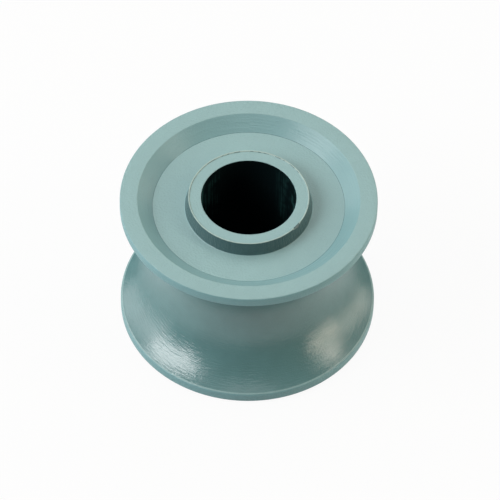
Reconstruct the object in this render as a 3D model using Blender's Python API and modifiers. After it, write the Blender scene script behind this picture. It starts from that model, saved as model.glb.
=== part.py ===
"""A rope sheave moulded in one piece: two thin rims with a round groove between them,
and a plain hub with a through bore. Both faces have a shallow ring-shaped recess.

It stands on a hub end, with the bore along Z and the origin at the bore's centre,
half-way between the two faces. Lengths are in metres.
"""

import math

import bmesh
import bpy
from mathutils import Matrix, Vector

# Driving dimensions of the turned body
OUTER_DIAMETER = 0.0260  # over the rims
RIM_WIDTH = 0.0166  # from the face of one rim to the face of the other
RIM_EDGE = 0.00105  # height of a rim's outer side, from its face down to the groove
RIM_LAND = 0.00175  # width of the flat ring on a rim's face
BORE_DIAMETER = 0.0096  # running clearance on a 9.5 mm pin
ROOT_WALL = 0.0037  # wall between the bore and the bottom of the groove
HUB_WALL = 0.0013  # wall between the bore and the hub's side, at the hub's end
HUB_STAND_OFF = 0.0003  # height of a hub end over the rim's face
HUB_DRAFT = math.radians(12.0)  # the hub widens towards the recess floor
RECESS_DEPTH = 0.0012  # from the rim's face to the recess floor
RECESS_WALL_SLOPE = math.radians(52.0)  # the recess's outer wall, from the bore's axis

# Radii of the edges and of the corner at the hub's foot
BORE_EDGE_RADIUS = 0.00012
HUB_EDGE_RADIUS = 0.00008
HUB_FOOT_RADIUS = 0.00015
FLOOR_CORNER_RADIUS = 0.00010
RECESS_EDGE_RADIUS = 0.00015
RIM_EDGE_RADIUS = 0.00012
LIP_RADIUS = 0.00020  # where a rim's side turns into the groove

# A dent knocked into the outer edge of the upper hub end
NICK_AZIMUTH = math.radians(-37.0)  # from +X towards +Y
NICK_DEPTH = 0.00014  # at 45 degrees, from the sharp corner
NICK_RADIUS = 0.0022  # of the round thing that made it
NICK_TILT = math.radians(135.0)  # the cut runs down and outwards across the edge

# Fineness of the curves
TURN_STEPS = 80
GROOVE_STEPS = 18
FILLET_STEPS = 2
NICK_STEPS = 72
FILLET_SHARE = 0.45  # the most of a side that a fillet at its end takes up
MERGE_DISTANCE = 1e-6  # joins the last turned step to the first

# Finish of the moulded body
ACETAL_COLOUR = (0.32, 0.45, 0.43, 1.0)  # grey with a green-blue cast
ACETAL_ROUGHNESS = 0.45

# Sizes that follow from the driving dimensions
outer_radius = OUTER_DIAMETER / 2
rim_height = RIM_WIDTH / 2
lip_height = rim_height - RIM_EDGE
bore_radius = BORE_DIAMETER / 2
throat_radius = bore_radius + ROOT_WALL
hub_height = rim_height + HUB_STAND_OFF
floor_height = rim_height - RECESS_DEPTH
hub_end_radius = bore_radius + HUB_WALL
nick_length = 2 * (hub_height - floor_height)  # the cut runs well past the edge
hub_foot_radius = hub_end_radius + (hub_height - floor_height) * math.tan(HUB_DRAFT)
recess_edge_radius = outer_radius - RIM_LAND
floor_radius = recess_edge_radius - RECESS_DEPTH * math.tan(RECESS_WALL_SLOPE)


def clear_scene():
    for thing in list(bpy.data.objects):
        bpy.data.objects.remove(thing, do_unlink=True)


def new_collection(name):
    collection = bpy.data.collections.new(name)
    bpy.context.scene.collection.children.link(collection)
    return collection


def upper_corners():
    """Sharp corners of the upper face, from the bore to the lip: radius, height, fillet."""
    return [
        (bore_radius, hub_height, BORE_EDGE_RADIUS),
        (hub_end_radius, hub_height, HUB_EDGE_RADIUS),
        (hub_foot_radius, floor_height, HUB_FOOT_RADIUS),
        (floor_radius, floor_height, FLOOR_CORNER_RADIUS),
        (recess_edge_radius, rim_height, RECESS_EDGE_RADIUS),
        (outer_radius, rim_height, RIM_EDGE_RADIUS),
        (outer_radius, lip_height, LIP_RADIUS),
    ]


def groove_points():
    """One arc from the upper lip to the lower one, through the bottom of the groove."""
    depth = outer_radius - throat_radius
    arc_radius = (lip_height**2 + depth**2) / (2 * depth)
    centre = throat_radius + arc_radius
    half_angle = math.atan2(lip_height, centre - outer_radius)
    points = []
    for step in range(1, GROOVE_STEPS):
        angle = half_angle * (1 - 2 * step / GROOVE_STEPS)
        points.append((centre - arc_radius * math.cos(angle), arc_radius * math.sin(angle), 0.0))
    return points


def rounded_corner(before, corner, after, radius):
    """Points of the fillet at a corner, no longer than its two sides allow."""
    incoming = (corner - before).normalized()
    outgoing = (after - corner).normalized()
    turn = math.atan2(incoming.cross(outgoing), incoming.dot(outgoing))
    room = FILLET_SHARE * min((corner - before).length, (after - corner).length)
    setback = min(radius * math.tan(abs(turn) / 2), room)
    side = math.copysign(1.0, turn)
    start = corner - incoming * setback
    arm = incoming.orthogonal() * -side * setback / math.tan(abs(turn) / 2)
    centre = start - arm
    return [centre + Matrix.Rotation(turn * step / FILLET_STEPS, 2) @ arm for step in range(FILLET_STEPS + 1)]


def body_outline():
    """The closed section: out over the upper face, down the groove, back, up the bore."""
    upper = upper_corners()
    lower = [(radius, -height, fillet) for radius, height, fillet in reversed(upper)]
    corners = upper + groove_points() + lower
    places = [Vector((radius, height)) for radius, height, _ in corners]
    outline = []
    for index, (_, _, fillet) in enumerate(corners):
        after = places[(index + 1) % len(places)]
        if fillet:
            outline += rounded_corner(places[index - 1], places[index], after, fillet)
        else:
            outline.append(places[index])
    return outline


def add_body(collection):
    """The outline as a loop of edges in the XZ plane, turned about Z."""
    section = bmesh.new()
    loop = [section.verts.new((point.x, 0.0, point.y)) for point in body_outline()]
    for index, vert in enumerate(loop):
        section.edges.new((loop[index - 1], vert))
    mesh = bpy.data.meshes.new("sheave")
    section.to_mesh(mesh)
    section.free()
    body = bpy.data.objects.new("sheave", mesh)
    collection.objects.link(body)
    turn = body.modifiers.new("turn", "SCREW")
    turn.axis = "Z"
    turn.angle = math.tau
    turn.steps = TURN_STEPS
    turn.render_steps = TURN_STEPS
    turn.use_merge_vertices = True
    turn.merge_threshold = MERGE_DISTANCE
    turn.use_smooth_shade = True
    return body


def add_nick_cutter(collection):
    """A cylinder across the hub's upper outer edge, as deep as the dent."""
    shape = bmesh.new()
    bmesh.ops.create_cone(
        shape,
        cap_ends=True,
        segments=NICK_STEPS,
        radius1=NICK_RADIUS,
        radius2=NICK_RADIUS,
        depth=nick_length,
    )
    mesh = bpy.data.meshes.new("nick_cutter")
    shape.to_mesh(mesh)
    shape.free()
    cutter = bpy.data.objects.new("nick_cutter", mesh)
    collection.objects.link(cutter)
    retreat = NICK_RADIUS - NICK_DEPTH
    reach = hub_end_radius - retreat * math.cos(NICK_TILT)
    height = hub_height + retreat * math.sin(NICK_TILT)
    cutter.location = (reach * math.cos(NICK_AZIMUTH), reach * math.sin(NICK_AZIMUTH), height)
    cutter.rotation_euler = (0.0, NICK_TILT, NICK_AZIMUTH)
    cutter.hide_render = True
    cutter.display_type = "WIRE"
    return cutter


def cut_nick(body, cutter):
    cut = body.modifiers.new("nick", "BOOLEAN")
    cut.operation = "DIFFERENCE"
    cut.object = cutter
    cut.solver = "EXACT"


def add_moulded_acetal():
    """Acetal with the satin skin that a mould leaves."""
    material = bpy.data.materials.new("moulded_acetal")
    material.use_nodes = True
    shader = material.node_tree.nodes["Principled BSDF"]
    shader.inputs["Base Color"].default_value = ACETAL_COLOUR
    shader.inputs["Roughness"].default_value = ACETAL_ROUGHNESS
    shader.inputs["Metallic"].default_value = 0.0
    return material


def keep_flat_faces_flat(body):
    """Smooth shading that leaves the broad faces level beside their narrow fillets."""
    body.modifiers.new("flat_faces", "WEIGHTED_NORMAL")


def main():
    clear_scene()
    parts = new_collection("rope_sheave")
    cutters = new_collection("cutters")
    body = add_body(parts)
    cut_nick(body, add_nick_cutter(cutters))
    keep_flat_faces_flat(body)
    body.data.materials.append(add_moulded_acetal())


main()
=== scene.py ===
# Looks of a moulded acetal rope sheave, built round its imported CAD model
import math

import bpy
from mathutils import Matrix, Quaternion, Vector


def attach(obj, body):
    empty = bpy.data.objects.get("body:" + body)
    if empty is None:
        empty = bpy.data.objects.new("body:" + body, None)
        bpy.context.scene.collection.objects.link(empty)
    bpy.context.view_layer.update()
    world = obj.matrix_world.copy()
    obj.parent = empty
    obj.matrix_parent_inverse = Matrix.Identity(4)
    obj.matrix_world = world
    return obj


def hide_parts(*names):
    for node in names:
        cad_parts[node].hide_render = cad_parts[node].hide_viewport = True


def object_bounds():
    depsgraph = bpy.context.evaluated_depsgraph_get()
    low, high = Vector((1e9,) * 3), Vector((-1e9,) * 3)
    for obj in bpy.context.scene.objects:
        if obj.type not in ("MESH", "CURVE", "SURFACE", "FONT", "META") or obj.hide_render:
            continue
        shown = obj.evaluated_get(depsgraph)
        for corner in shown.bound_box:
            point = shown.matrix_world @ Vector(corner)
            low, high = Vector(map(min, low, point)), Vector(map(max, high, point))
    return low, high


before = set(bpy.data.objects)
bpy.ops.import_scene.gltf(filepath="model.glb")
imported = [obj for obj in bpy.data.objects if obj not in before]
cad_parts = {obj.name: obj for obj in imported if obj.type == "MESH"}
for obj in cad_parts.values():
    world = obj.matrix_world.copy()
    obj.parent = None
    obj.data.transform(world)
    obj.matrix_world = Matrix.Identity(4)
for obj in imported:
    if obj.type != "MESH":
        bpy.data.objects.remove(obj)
cadLow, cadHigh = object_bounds()
mm = 0.001
print("frame loaded")

# Camera, fitted to the rings of the upper face
photoCamera = {
    "elevation": 51.08,  # degrees above the horizon
    "roll": 0.79,  # degrees, the picture leans clockwise
    "distance": 0.613,  # metres from the middle of the sheave
    "lens": 433.6,  # mm
    "sensor": 36,  # mm
    "shiftX": 0.0039,  # shares of the picture's width
    "shiftY": 0.0008,
    "clipStart": 0.01,  # metres
}


def addCamera(settings):
    elevation = math.radians(settings["elevation"])
    back = Vector((0, -math.cos(elevation), math.sin(elevation)))
    centre = (cadLow + cadHigh) / 2
    roll = Quaternion((0, 0, 1), math.radians(settings["roll"]))
    turn = (back.to_track_quat("Z", "Y") @ roll).to_euler()
    bpy.ops.object.camera_add(location=centre + back * settings["distance"], rotation=turn)
    camera = bpy.context.object
    camera.name = "photoCamera"
    camera.data.lens = settings["lens"]
    camera.data.sensor_width = settings["sensor"]
    camera.data.shift_x = settings["shiftX"]
    camera.data.shift_y = settings["shiftY"]
    camera.data.clip_start = settings["clipStart"]
    bpy.context.scene.camera = camera


addCamera(photoCamera)
print("camera placed")

# Small helpers for edit mode
closeEnough = 0.001 * mm  # a point this near a place is the point meant
mergeDistance = 0.0005 * mm


def selectPoints(piece, test):
    bpy.ops.object.mode_set(mode="EDIT")
    bpy.ops.mesh.select_mode(type="VERT")
    bpy.ops.mesh.select_all(action="DESELECT")
    bpy.ops.object.mode_set(mode="OBJECT")
    for point in piece.data.vertices:
        point.select = test(point.co)
    bpy.ops.object.mode_set(mode="EDIT")


def drawTo(start, end):
    # one straight line of the section, from the selected point
    move = (end[0] - start[0], 0, end[1] - start[1])
    bpy.ops.mesh.extrude_region_move(TRANSFORM_OT_translate={"value": move})


# The sheave: one section drawn point by point, spun round the bore and mirrored
sheaveShape = {
    "boreRadius": 4.8 * mm,
    "throatRadius": 8.5 * mm,  # bottom of the groove
    "rimFace": 8.3 * mm,  # height of the rim's flat ring over the middle
    "rimEdge": 1.05 * mm,  # height of the rim's thin outer side
    "landWidth": 1.75 * mm,
    "recessDepth": 1.2 * mm,
    "recessSlope": 52,  # degrees from the bore's axis
    "hubWall": 1.3 * mm,
    "hubDraft": 12,  # degrees, the hub widens downwards
    "flashWidth": 0.1 * mm,  # the thin lip that the mould left round the hub's end
    "flashHeight": 0.08 * mm,
    "flashSlope": 0.03 * mm,  # how far its inner side leans
    "turnSteps": 360,
    "grooveSteps": 44,
    "filletSteps": 5,
    "hubRings": 8,  # rings across the hub's end, and down its side
    "sideFrom": 0.75,  # the hub's side is straight from this share of its foot's radius up
    "sideTo": 0.5,  # to this share of its edge's radius under the end
    "boreEdge": 0.08 * mm,  # radius of each edge and corner, from here on
    "hubEdge": 0.04 * mm,
    "hubFoot": 0.15 * mm,
    "floorCorner": 0.1 * mm,
    "recessEdge": 0.15 * mm,
    "outerEdge": 0.12 * mm,
    "lip": 0.1 * mm,
}


def sectionCorners(shape):
    # radius, height and fillet of each sharp corner, from the lip in to the bore
    outer = cadHigh.x
    hubTop = cadHigh.z
    floor = shape["rimFace"] - shape["recessDepth"]
    hubEnd = shape["boreRadius"] + shape["hubWall"]
    hubFoot = hubEnd + (hubTop - floor) * math.tan(math.radians(shape["hubDraft"]))
    flash = hubEnd - shape["flashWidth"]
    endHeight = hubTop - shape["flashHeight"]
    land = outer - shape["landWidth"]
    recess = land - shape["recessDepth"] * math.tan(math.radians(shape["recessSlope"]))
    return [
        (outer, shape["rimFace"] - shape["rimEdge"], shape["lip"]),
        (outer, shape["rimFace"], shape["outerEdge"]),
        (land, shape["rimFace"], shape["recessEdge"]),
        (recess, floor, shape["floorCorner"]),
        (hubFoot, floor, shape["hubFoot"]),
        (hubEnd, hubTop, shape["hubEdge"]),
        (flash, hubTop, shape["hubEdge"]),
        (flash - shape["flashSlope"], endHeight, 0),
        (shape["boreRadius"], endHeight, shape["boreEdge"]),
    ]


def setback(before, corner, after, radius):
    # how far from a corner its fillet starts
    incoming = Vector(corner[:2]) - Vector(before[:2])
    outgoing = Vector(after[:2]) - Vector(corner[:2])
    return radius * math.tan(incoming.angle(outgoing) / 2)


def drawSection(shape, corners):
    # the groove's upper half as an arc from its bottom to the lip, then straight lines to the bore
    lipRadius, lipHeight = corners[0][:2]
    boreMiddle = (shape["boreRadius"], 0)
    depth = lipRadius - shape["throatRadius"]
    arcRadius = (lipHeight**2 + depth**2) / (2 * depth)
    arcCentre = shape["throatRadius"] + arcRadius
    halfAngle = math.atan2(lipHeight, arcCentre - lipRadius)
    bpy.ops.mesh.primitive_plane_add(size=mm, location=(shape["throatRadius"], 0, 0))
    piece = bpy.context.object
    piece.name = "mouldedSheave"
    bpy.ops.object.transform_apply(location=True, rotation=True, scale=True)
    bpy.ops.object.mode_set(mode="EDIT")
    bpy.ops.mesh.merge(type="CENTER")  # one point at the bottom of the groove
    bpy.ops.mesh.spin(
        steps=shape["grooveSteps"], angle=halfAngle, center=(arcCentre, 0, 0), axis=(0, -1, 0)
    )
    for start, end in zip(corners, [*corners[1:], boreMiddle]):
        drawTo(start, end)

    # every corner gets its moulded radius; the arc meets the lip from a place just before its end
    nearEnd = halfAngle * 0.99
    arcBefore = (arcCentre - arcRadius * math.cos(nearEnd), arcRadius * math.sin(nearEnd))
    outline = [arcBefore, *corners, boreMiddle]
    for index, (radius, height, fillet) in enumerate(corners):
        if not fillet:
            continue
        back = setback(outline[index], outline[index + 1], outline[index + 2], fillet)
        selectPoints(piece, lambda co: abs(co.x - radius) + abs(co.z - height) < closeEnough)
        bpy.ops.mesh.bevel(
            offset=back,
            offset_type="OFFSET",
            segments=shape["filletSteps"],
            profile=0.5,
            affect="VERTICES",
        )
    return piece


def addHubRings(piece, shape, corners):
    # rings across the hub's flat end and down its straight side, clear of the fillets
    footRadius, floorHeight, footFillet = corners[4]
    hubEnd = corners[5][0]
    endInside, endHeight = corners[7][:2]
    sideLow = floorHeight + footFillet * shape["sideFrom"]
    sideHigh = cadHigh.z - shape["hubEdge"] * shape["sideTo"]

    def onEnd(co):
        return co.x < endInside + closeEnough and co.z > endHeight - closeEnough

    def onSide(co):
        return hubEnd < co.x < footRadius and sideLow < co.z < sideHigh

    for test in (onEnd, onSide):
        selectPoints(piece, test)
        bpy.ops.mesh.subdivide(number_cuts=shape["hubRings"])


def modelSheave(shape):
    bpy.ops.object.select_all(action="DESELECT")
    corners = sectionCorners(shape)
    piece = drawSection(shape, corners)
    addHubRings(piece, shape, corners)
    bpy.ops.mesh.select_all(action="SELECT")
    bpy.ops.mesh.spin(steps=shape["turnSteps"], angle=math.tau, center=(0, 0, 0), axis=(0, 0, 1))
    bpy.ops.mesh.select_all(action="SELECT")
    bpy.ops.mesh.remove_doubles(threshold=mergeDistance)
    bpy.ops.object.mode_set(mode="OBJECT")
    mirror = piece.modifiers.new("lowerHalf", "MIRROR")
    mirror.use_axis = (False, False, True)
    mirror.merge_threshold = mergeDistance
    bpy.ops.object.modifier_apply(modifier=mirror.name)
    bpy.ops.object.mode_set(mode="EDIT")
    bpy.ops.mesh.select_all(action="SELECT")
    bpy.ops.mesh.normals_make_consistent(inside=False)
    bpy.ops.object.mode_set(mode="OBJECT")
    bpy.ops.object.shade_smooth()
    return piece


sheave = modelSheave(sheaveShape)
print("sheave modelled", len(sheave.data.polygons), "faces")

# Wear on the upper hub end; bearings run from the front towards the right
nick = {"bearing": 53, "depth": 0.14 * mm, "radius": 2.2 * mm, "length": 3 * mm, "sides": 96}
raggedEdges = {
    "size": 0.3 * mm,  # of one ripple
    "flash": 0.05 * mm,  # from the deepest dip to the highest peak
    "flashFrom": 0.02 * mm,  # the flash ripples from this height over the hub's end
    "bore": 0.12 * mm,
    "boreFrom": 0.06 * mm,  # the bore's edge is chipped to this depth
    "boreBearings": ((112, 132), (-70, -58), (8, 15)),
    "slack": 0.01 * mm,  # on the radii that the points are picked by
}


def bearing(co):
    return math.degrees(math.atan2(co.x, -co.y))


def cutNick(piece, shape, cut):
    # a wide cylinder laid at 45 degrees along the hub's outer edge
    bpy.ops.object.select_all(action="DESELECT")
    angle = math.radians(cut["bearing"])
    out = Vector((math.sin(angle), -math.cos(angle), 0))
    edge = out * (shape["boreRadius"] + shape["hubWall"]) + Vector((0, 0, cadHigh.z))
    away = (out + Vector((0, 0, 1))).normalized()
    along = Vector((0, 0, 1)).cross(out)
    across = away.cross(along)
    bpy.ops.mesh.primitive_cylinder_add(
        vertices=cut["sides"],
        radius=cut["radius"],
        depth=cut["length"],
        location=edge + away * (cut["radius"] - cut["depth"]),
        rotation=across.to_track_quat("Z", "Y").to_euler(),
    )
    cutter = bpy.context.object
    bpy.context.view_layer.objects.active = piece
    chip = piece.modifiers.new("nick", "BOOLEAN")
    chip.operation = "DIFFERENCE"
    chip.solver = "EXACT"
    chip.object = cutter
    bpy.ops.object.modifier_apply(modifier=chip.name)
    bpy.data.objects.remove(cutter)


def roughenEdge(piece, name, test, size, depth):
    # ripples on the points that the test picks
    group = piece.vertex_groups.new(name=name)
    group.add([point.index for point in piece.data.vertices if test(point.co)], 1.0, "REPLACE")
    ripple = bpy.data.textures.new(name, "CLOUDS")
    ripple.noise_scale = size
    ragged = piece.modifiers.new(name, "DISPLACE")
    ragged.texture = ripple
    ragged.texture_coords = "LOCAL"
    ragged.vertex_group = group.name
    ragged.strength = depth
    bpy.ops.object.modifier_apply(modifier=ragged.name)
    piece.vertex_groups.clear()


def roughenEdges(piece, shape, ragged):
    flash = shape["boreRadius"] + shape["hubWall"] - shape["flashWidth"] - ragged["slack"]
    boreRing = shape["boreRadius"] + shape["boreEdge"] - ragged["slack"]
    endHeight = cadHigh.z - shape["flashHeight"]

    def onFlash(co):
        return co.z > endHeight + ragged["flashFrom"] and math.hypot(co.x, co.y) > flash

    def chipped(co):
        top = co.z > endHeight - ragged["boreFrom"] and math.hypot(co.x, co.y) < boreRing
        return top and any(low < bearing(co) < high for low, high in ragged["boreBearings"])

    roughenEdge(piece, "raggedFlash", onFlash, ragged["size"], ragged["flash"])
    roughenEdge(piece, "raggedBore", chipped, ragged["size"], ragged["bore"])


def keepFlatsFlat(piece):
    weighted = piece.modifiers.new("flatFaces", "WEIGHTED_NORMAL")
    weighted.keep_sharp = True
    bpy.ops.object.modifier_apply(modifier=weighted.name)


cutNick(sheave, sheaveShape, nick)
roughenEdges(sheave, sheaveShape, raggedEdges)
keepFlatsFlat(sheave)
print("nick and flash made")


# Materials
def linearColour(code):
    channels = [int(code[i:i + 2], 16) / 255 for i in (1, 3, 5)]
    return tuple(c / 12.92 if c <= 0.04045 else ((c + 0.055) / 1.055) ** 2.4 for c in channels) + (1,)


def addNode(tree, kind, settings=None, inputs=None):
    # one node with its settings; an input is a value or another node's output
    node = tree.nodes.new(kind)
    for name, value in (settings or {}).items():
        setattr(node, name, value)
    for name, value in (inputs or {}).items():
        if isinstance(value, bpy.types.NodeSocket):
            tree.links.new(value, node.inputs[name])
        else:
            node.inputs[name].default_value = value
    return node


# One moulding in acetal, whose surfaces came out of the mould in different ways. The hub's side, the groove
# and the bore carry painted shade in their colours, and the flash and the bore's stripes painted light. The
# grain is drawn about twice as coarse as the real one, or a picture of the whole sheave wouldn't show it
finishes = {
    "satinAcetal": {  # the faces: soft, broad shine over a fine grain
        "colour": "#7a9999",
        "roughness": 0.42,
        "specular": 0.6,
        "mottle": 0.03,  # share by which the blotches are darker and lighter
        "grainSize": 0.22,  # mm
        "grainDepth": 0.055,  # mm
        "streakLength": 2.5,  # mm round the turn
        "streakWidth": 0.22,  # mm
        "streakDepth": 0.015,  # mm
    },
    "turnedAcetal": {  # the recess's walls: a smoother band with marks round the turn
        "colour": "#739597",
        "roughness": 0.3,
        "specular": 0.33,
        "mottle": 0.03,
        "grainSize": 0.2,
        "grainDepth": 0.02,
        "streakLength": 2.5,
        "streakWidth": 0.22,
        "streakDepth": 0.035,
    },
    "rimAcetal": {  # the rims' thin sides: dry, with little shine
        "colour": "#6f999d",
        "roughness": 0.42,
        "specular": 0.35,
        "mottle": 0.03,
        "grainSize": 0.2,
        "grainDepth": 0.05,
        "streakLength": 2.5,
        "streakWidth": 0.2,
        "streakDepth": 0.05,
    },
    "hubPaintedShade": {  # the hub's side: dark as painted shade, with marks up and down that the mould drew as it let go
        "colour": "#3f5b5d",
        "roughness": 0.3,
        "specular": 0.5,
        "mottle": 0.05,
        "grainSize": 0.2,
        "grainDepth": 0.05,
        "streakLength": 0.16,
        "streakWidth": 3.0,
        "streakDepth": 0.07,
    },
    "polishedAcetal": {  # the groove: glossier, with fine ripples that run with the rope, and darker as painted shade between the rims
        "colour": "#567a7b",
        "roughness": 0.21,
        "specular": 0.7,
        "mottle": 0.09,
        "grainSize": 0.2,
        "grainDepth": 0.013,
        "streakLength": 1.0,
        "streakWidth": 0.13,
        "streakDepth": 0.026,
    },
    "paleFlashHighlight": {  # thin plastic, stressed and scuffed until it has gone pale, and paler still as a painted highlight
        "colour": "#93a8a2",
        "roughness": 0.45,
        "specular": 0.35,
        "mottle": 0.12,
        "grainSize": 0.2,
        "grainDepth": 0.04,
        "streakLength": 0.8,
        "streakWidth": 0.2,
        "streakDepth": 0.04,
    },
    "borePaintedShade": {  # painted shade: the bore's wall is near black, with lighter stripes of painted light along it
        "colour": "#0a1517",
        "roughness": 0.6,
        "specular": 0.0,
        "mottle": 0.0,
        "grainSize": 0.3,
        "grainDepth": 0.02,
        "streakLength": 0.35,
        "streakWidth": 6.0,
        "streakDepth": 0.02,
        "paintedLightColour": "#2f5856",
    },
}
blotchSize = 1.6  # mm, of the mottle in every finish
streakRadius = 10.0  # mm from the axis, where a streak has its stated length
# painted light: stripes on the bore's left and right walls, lighter where the lamps reach in
borePaintedLight = {
    "sides": (2.6 * mm, 4.8 * mm),  # from the middle to the left and right: where they start, and are full
    "streakNoise": (0.4, 0.7),  # the part of the streaks' noise over which a stripe comes in
    "broken": (0.4, 0.65),  # and of the blotches' noise
}


def turnedStreaks(tree, place, length, width):
    # noise drawn out along the turn: an angle, a radius and a height take the place of x, y and z
    facing = addNode(tree, "ShaderNodeVectorMath", {"operation": "MULTIPLY"}, {0: place, 1: (1, -1, 1)})
    parts = addNode(tree, "ShaderNodeSeparateXYZ", inputs={"Vector": facing.outputs[0]})
    angle = addNode(
        tree, "ShaderNodeMath", {"operation": "ARCTAN2"}, {0: parts.outputs["X"], 1: parts.outputs["Y"]}
    )
    level = addNode(tree, "ShaderNodeVectorMath", {"operation": "MULTIPLY"}, {0: place, 1: (1, 1, 0)})
    radius = addNode(tree, "ShaderNodeVectorMath", {"operation": "LENGTH"}, {0: level.outputs[0]})
    turned = addNode(
        tree,
        "ShaderNodeCombineXYZ",
        inputs={"X": angle.outputs[0], "Y": radius.outputs["Value"], "Z": parts.outputs["Z"]},
    )
    scale = (streakRadius / length, 1 / (width * mm), 1 / (width * mm))
    drawnOut = addNode(
        tree, "ShaderNodeVectorMath", {"operation": "MULTIPLY"}, {0: turned.outputs[0], 1: scale}
    )
    noise = addNode(tree, "ShaderNodeTexNoise", inputs={"Vector": drawnOut.outputs[0], "Scale": 1.0})
    return noise.outputs["Fac"]


def paintedLightShare(tree, place, streaks, blotches, stripes):
    # 1 in a stripe of painted light and 0 outside: only to the left and right, and broken up by the
    # blotches
    parts = addNode(tree, "ShaderNodeSeparateXYZ", inputs={"Vector": place})
    across = addNode(tree, "ShaderNodeMath", {"operation": "ABSOLUTE"}, {0: parts.outputs["X"]})
    share = 1.0
    for source, (low, high) in (
        (across.outputs[0], stripes["sides"]),
        (streaks, stripes["streakNoise"]),
        (blotches, stripes["broken"]),
    ):
        ramp = addNode(
            tree, "ShaderNodeMapRange", inputs={"Value": source, "From Min": low, "From Max": high}
        )
        both = addNode(tree, "ShaderNodeMath", {"operation": "MULTIPLY"}, {0: share, 1: ramp.outputs[0]})
        share = both.outputs[0]
    return share


def acetalMaterial(name, finish):
    material = bpy.data.materials.new(name)
    material.use_nodes = True
    tree = material.node_tree
    shader = tree.nodes["Principled BSDF"]
    place = addNode(tree, "ShaderNodeTexCoord").outputs["Object"]
    blotches = addNode(
        tree, "ShaderNodeTexNoise", inputs={"Vector": place, "Scale": 1 / (blotchSize * mm)}
    ).outputs["Fac"]
    streaks = turnedStreaks(tree, place, finish["streakLength"], finish["streakWidth"])
    colour = linearColour(finish["colour"])[:3]
    dark = tuple(c * (1 - finish["mottle"]) for c in colour) + (1,)
    light = tuple(c * (1 + finish["mottle"]) for c in colour) + (1,)
    skin = addNode(tree, "ShaderNodeMix", {"data_type": "RGBA"}, {0: blotches, 6: dark, 7: light})
    # the bore's painted shade gets lighter stripes of painted light
    if "paintedLightColour" in finish:
        share = paintedLightShare(tree, place, streaks, blotches, borePaintedLight)
        stripeLight = linearColour(finish["paintedLightColour"])
        skin = addNode(
            tree, "ShaderNodeMix", {"data_type": "RGBA"}, {0: share, 6: skin.outputs[2], 7: stripeLight}
        )
    tree.links.new(skin.outputs[2], shader.inputs["Base Color"])

    # fine moulded grain, then the drawn-out marks
    speckle = addNode(
        tree, "ShaderNodeTexNoise", inputs={"Vector": place, "Scale": 1 / (finish["grainSize"] * mm)}
    )
    grain = addNode(
        tree,
        "ShaderNodeBump",
        inputs={"Distance": finish["grainDepth"] * mm, "Height": speckle.outputs["Fac"]},
    )
    marks = addNode(
        tree,
        "ShaderNodeBump",
        inputs={"Distance": finish["streakDepth"] * mm, "Height": streaks, "Normal": grain.outputs[0]},
    )
    tree.links.new(marks.outputs[0], shader.inputs["Normal"])
    shader.inputs["Roughness"].default_value = finish["roughness"]
    shader.inputs["Specular IOR Level"].default_value = finish["specular"]
    return material


# Where one finish gives way to the next. A lean is how much a face's normal points up or down, 1 being flat
borders = {
    "bore": 0.01 * mm,  # out from the bore's wall
    "groove": 0.05 * mm,  # in from the bottom of the groove
    "rimSide": 0.03 * mm,  # in from the outer radius
    "flashHeight": 0.7,  # of the flash's own
    "flashWidth": 1.2,
    "hubReach": 1.0 * mm,  # out from the hub's end, past its foot
    "hubLean": 0.6,  # steeper than this round the hub is its side
    "nickReach": 0.5 * mm,  # in from the hub's end, and over the recess's floor
    "nickLean": 0.95,
    "wallLeans": (0.15, 0.85),
}


def finishAt(centre, normal, shape, border):
    distance = math.hypot(centre.x, centre.y)
    height = abs(centre.z)
    lean = abs(normal.z)
    lipHeight = shape["rimFace"] - shape["rimEdge"]
    floorHeight = shape["rimFace"] - shape["recessDepth"]
    hubEnd = shape["boreRadius"] + shape["hubWall"]
    flashLow = cadHigh.z - shape["flashHeight"] * border["flashHeight"]
    flashInside = hubEnd - shape["flashWidth"] * border["flashWidth"]
    nickInside, nickLow = hubEnd - border["nickReach"], floorHeight + border["nickReach"]
    byHub = height > floorHeight and distance < hubEnd + border["hubReach"]
    steepest, flattest = border["wallLeans"]
    # the bore's wall, near black as painted shade
    if distance < shape["boreRadius"] + border["bore"]:
        return "borePaintedShade"
    if height < lipHeight - shape["lip"] and distance > shape["throatRadius"] - border["groove"]:
        return "polishedAcetal"
    if distance > cadHigh.x - border["rimSide"]:
        return "rimAcetal"
    # the flash, pale and with a painted highlight
    if height > flashLow and distance > flashInside:
        return "paleFlashHighlight"
    # the hub's side, dark as painted shade
    if byHub and lean < border["hubLean"]:
        return "hubPaintedShade"
    if byHub and height > nickLow and distance > nickInside and lean < border["nickLean"]:
        return "hubPaintedShade"
    if height > floorHeight and steepest < lean < flattest:
        return "turnedAcetal"
    return "satinAcetal"


def dressSheave(piece, shape, border):
    for name, finish in finishes.items():
        piece.data.materials.append(acetalMaterial(name, finish))
    order = list(finishes)
    for face in piece.data.polygons:
        face.material_index = order.index(finishAt(face.center, face.normal, shape, border))


dressSheave(sheave, sheaveShape, borders)
print("materials made")

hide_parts("sheave")
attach(sheave, "root")

# Floor: pale paper, nearly white to the camera and in reflections, where the sheave's shadow still shows
floorShape = {
    "size": 3.0,  # metres across
    "colour": "#c4c4c2",
    "roughness": 0.9,
    "specular": 0.2,
    "glow": 0.94,  # share of plain white in what is seen of it
}


def seenRays(tree):
    # 1 for the rays of the camera, of reflections and through glass
    lightPath = addNode(tree, "ShaderNodeLightPath")
    mirrored = addNode(
        tree,
        "ShaderNodeMath",
        {"operation": "ADD"},
        {0: lightPath.outputs["Is Camera Ray"], 1: lightPath.outputs["Is Glossy Ray"]},
    )
    through = addNode(
        tree,
        "ShaderNodeMath",
        {"operation": "ADD", "use_clamp": True},
        {0: mirrored.outputs[0], 1: lightPath.outputs["Is Transmission Ray"]},
    )
    return through.outputs[0]


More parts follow.
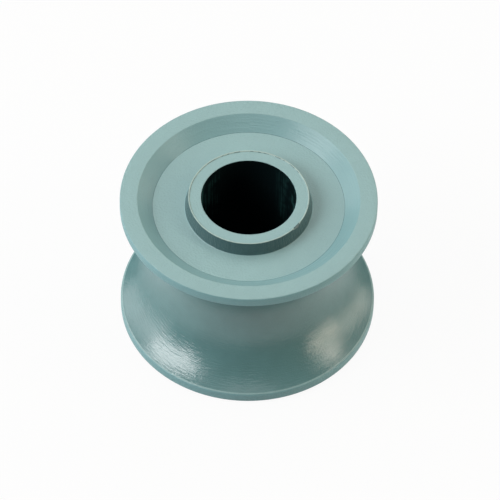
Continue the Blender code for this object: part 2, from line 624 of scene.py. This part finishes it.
def addFloor(shape):
    bpy.ops.object.select_all(action="DESELECT")
    bpy.ops.mesh.primitive_plane_add(size=shape["size"], location=(0, 0, cadLow.z))
    floor = bpy.context.object
    floor.name = "paperFloor"
    material = bpy.data.materials.new("mattePaper")
    material.use_nodes = True
    tree = material.node_tree
    shader = tree.nodes["Principled BSDF"]
    shader.inputs["Base Color"].default_value = linearColour(shape["colour"])
    shader.inputs["Roughness"].default_value = shape["roughness"]
    shader.inputs["Specular IOR Level"].default_value = shape["specular"]
    glow = addNode(tree, "ShaderNodeEmission", inputs={"Color": (1, 1, 1, 1), "Strength": 1.0})
    share = addNode(
        tree, "ShaderNodeMath", {"operation": "MULTIPLY"}, {0: seenRays(tree), 1: shape["glow"]}
    )
    mix = addNode(
        tree,
        "ShaderNodeMixShader",
        inputs={0: share.outputs[0], 1: shader.outputs[0], 2: glow.outputs[0]},
    )
    tree.links.new(mix.outputs[0], tree.nodes["Material Output"].inputs["Surface"])
    floor.data.materials.append(material)


addFloor(floorShape)

# Softboxes round the sheave: azimuth from the front towards the right, elevation, width and height, and
# the brightness of the box's face, where 1 is white
softboxes = {
    "leftKey": {"azimuth": -115, "elevation": 54, "size": (0.28, 0.2), "colour": "#ffffff", "level": 1.2},
    "leftBox": {"azimuth": -71, "elevation": 40, "size": (0.3, 0.24), "colour": "#ffffff", "level": 8.8},
    "leftLow": {"azimuth": -106, "elevation": 21, "size": (0.5, 0.26), "colour": "#ffffff", "level": 2.7},
    "topBox": {"azimuth": 180, "elevation": 80, "size": (0.4, 0.34), "colour": "#ffffff", "level": 1.1},
    "backLeft": {"azimuth": -135, "elevation": 40, "size": (0.2, 0.2), "colour": "#ffffff", "level": 1.7},
    "backBox": {"azimuth": 175, "elevation": 48, "size": (0.32, 0.3), "colour": "#ffffff", "level": 1.6},
    "backRight": {"azimuth": 140, "elevation": 39, "size": (0.25, 0.3), "colour": "#ffffff", "level": 0.8},
    "rightBack": {"azimuth": 118, "elevation": 46, "size": (0.2, 0.2), "colour": "#fffaf2", "level": 0.7},
    "rightHigh": {"azimuth": 83, "elevation": 37, "size": (0.12, 0.18), "colour": "#fff4e4", "level": 6.8},
    "rightStrip": {"azimuth": 68, "elevation": 20, "size": (0.09, 0.15), "colour": "#fff2de", "level": 6.6},
    "rightMid": {"azimuth": 83, "elevation": 12, "size": (0.16, 0.12), "colour": "#fff2de", "level": 6.6},
    "rightLow": {"azimuth": 112, "elevation": 16, "size": (0.34, 0.16), "colour": "#fff6e8", "level": 3.3},
    "frontHigh": {"azimuth": 0, "elevation": 67, "size": (0.22, 0.14), "colour": "#ffffff", "level": 1.6},
}
softboxDistance = 0.5  # metres from the middle of the sheave


def addSoftbox(name, box):
    azimuth, elevation = math.radians(box["azimuth"]), math.radians(box["elevation"])
    away = Vector(
        (
            math.sin(azimuth) * math.cos(elevation),
            -math.cos(azimuth) * math.cos(elevation),
            math.sin(elevation),
        )
    )
    bpy.ops.object.light_add(
        type="AREA", location=away * softboxDistance, rotation=away.to_track_quat("Z", "Y").to_euler()
    )
    lamp = bpy.context.object
    lamp.name = name
    lamp.data.shape = "RECTANGLE"
    lamp.data.size, lamp.data.size_y = box["size"]
    lamp.data.color = linearColour(box["colour"])[:3]
    lamp.data.energy = math.pi * box["level"] * lamp.data.size * lamp.data.size_y


for boxName, box in softboxes.items():
    addSoftbox(boxName, box)

# World: dim and plain all round
worldLight = {"colour": "#ffffff", "strength": 0.02}


def addWorld(settings):
    world = bpy.data.worlds.new("studio")
    bpy.context.scene.world = world
    world.use_nodes = True
    sky = world.node_tree.nodes["Background"]
    sky.inputs["Color"].default_value = linearColour(settings["colour"])
    sky.inputs["Strength"].default_value = settings["strength"]


addWorld(worldLight)
bpy.context.scene.view_settings.view_transform = "Standard"
print("stage and light set")
